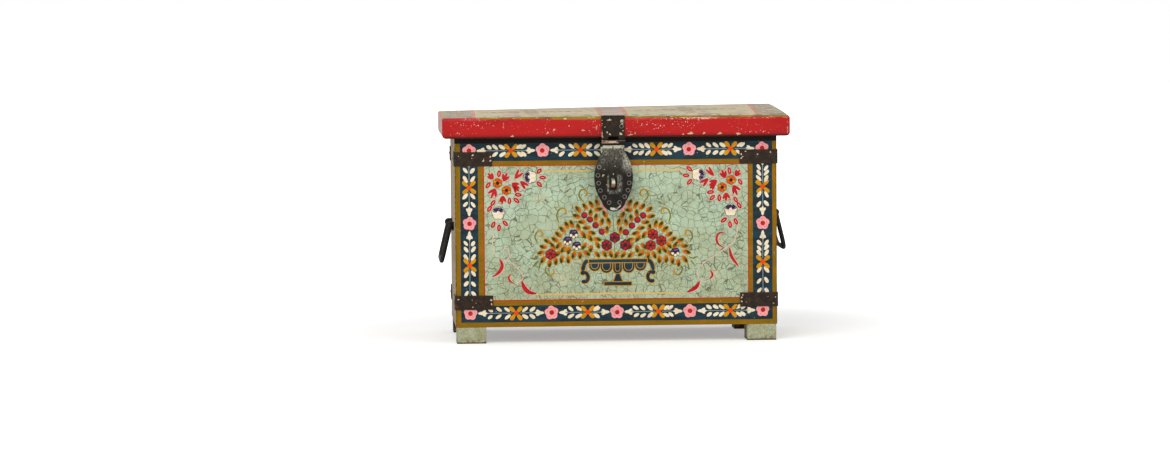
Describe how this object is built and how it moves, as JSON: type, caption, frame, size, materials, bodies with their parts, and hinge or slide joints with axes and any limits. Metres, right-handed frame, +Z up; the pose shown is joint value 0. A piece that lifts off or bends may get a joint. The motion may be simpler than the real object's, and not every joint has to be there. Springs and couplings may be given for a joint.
{
  "type": "painted keepsake chest",
  "caption": "Low painted wooden chest on block feet with a low, slightly domed lid, iron corner straps, a slotted hasp and side bail handles.",
  "frame": {"origin": "on the floor, under the middle of the whole object's box", "axes": "+X to the right, +Y to the back, +Z up; the front faces -Y"},
  "size_m": [0.4564, 0.2286, 0.3012],
  "materials": {
    "strap_iron": "blackened wrought iron with chips of paint",
    "handle_iron": "blackened wrought iron rod",
    "hasp_iron": "blackened iron, worn bright in places",
    "hinge_iron": "blackened iron",
    "foot_paint": "pale green crackled paint over wood",
    "front_paint": "painted with a floral border and an urn of flowers, crackled",
    "side_paint": "thin worn beige-green paint over wood",
    "back_paint": "thin brown-grey wash over wood",
    "bare_wood": "aged bare softwood",
    "moulding_paint": "worn red paint with a mustard line",
    "lid_paint": "washed-out panels of green, pink and grey paint"
  },
  "bodies": {
    "carcass": {"back_board": "back_paint", "floor_board": "bare_wood", "front_board": "front_paint", "front_left_foot": "foot_paint", "front_left_lower_strap": "strap_iron", "front_left_lower_strap_nails": "strap_iron", "front_left_upper_strap": "strap_iron", "front_left_upper_strap_nails": "strap_iron", "front_right_foot": "foot_paint", "front_right_lower_strap": "strap_iron", "front_right_lower_strap_nails": "strap_iron", "front_right_upper_strap": "strap_iron", "front_right_upper_strap_nails": "strap_iron", "hasp_staple": "hasp_iron", "left_front_eye": "handle_iron", "left_hinge_carcass_leaf": "hinge_iron", "left_hinge_pin": "hinge_iron", "left_rear_eye": "handle_iron", "left_side_board": "side_paint", "rear_left_foot": "foot_paint", "rear_left_lower_strap": "strap_iron", "rear_left_lower_strap_nails": "strap_iron", "rear_left_upper_strap": "strap_iron", "rear_left_upper_strap_nails": "strap_iron", "rear_right_foot": "foot_paint", "rear_right_lower_strap": "strap_iron", "rear_right_lower_strap_nails": "strap_iron", "rear_right_upper_strap": "strap_iron", "rear_right_upper_strap_nails": "strap_iron", "right_front_eye": "handle_iron", "right_hinge_carcass_leaf": "hinge_iron", "right_hinge_pin": "hinge_iron", "right_rear_eye": "handle_iron", "right_side_board": "side_paint"},
    "lid": {"hasp_pin": "hasp_iron", "hasp_strap": "hasp_iron", "left_hinge_lid_leaf": "hinge_iron", "lid_back_moulding": "moulding_paint", "lid_back_wall": "bare_wood", "lid_front_moulding": "moulding_paint", "lid_front_wall": "bare_wood", "lid_left_moulding": "moulding_paint", "lid_left_wall": "bare_wood", "lid_right_moulding": "moulding_paint", "lid_right_wall": "bare_wood", "lid_stave_1": "lid_paint", "lid_stave_2": "lid_paint", "lid_stave_3": "lid_paint", "right_hinge_lid_leaf": "hinge_iron"},
    "hasp": {"hasp_plate": "hasp_iron"},
    "left_bail": {"left_handle": "handle_iron"},
    "right_bail": {"right_handle": "handle_iron"}
  },
  "joints": [
    {"name": "lid_hinge", "type": "hinge", "parent": "carcass", "child": "lid", "pos_m": [0, 0.1073, 0.268], "axis": [-1, 0, 0], "range_deg": [0, 105]},
    {"name": "hasp_hinge", "type": "hinge", "parent": "lid", "child": "hasp", "pos_m": [-0.0045, -0.1115, 0.2604], "axis": [-1, 0, 0], "range_deg": [-9, 176]},
    {"name": "left_handle_hinge", "type": "hinge", "parent": "carcass", "child": "left_bail", "pos_m": [-0.214, 0.0063, 0.15], "axis": [0, 1, 0], "range_deg": [0, 165]},
    {"name": "right_handle_hinge", "type": "hinge", "parent": "carcass", "child": "right_bail", "pos_m": [0.214, 0.0063, 0.163], "axis": [0, -1, 0], "range_deg": [0, 165]}
  ]
}
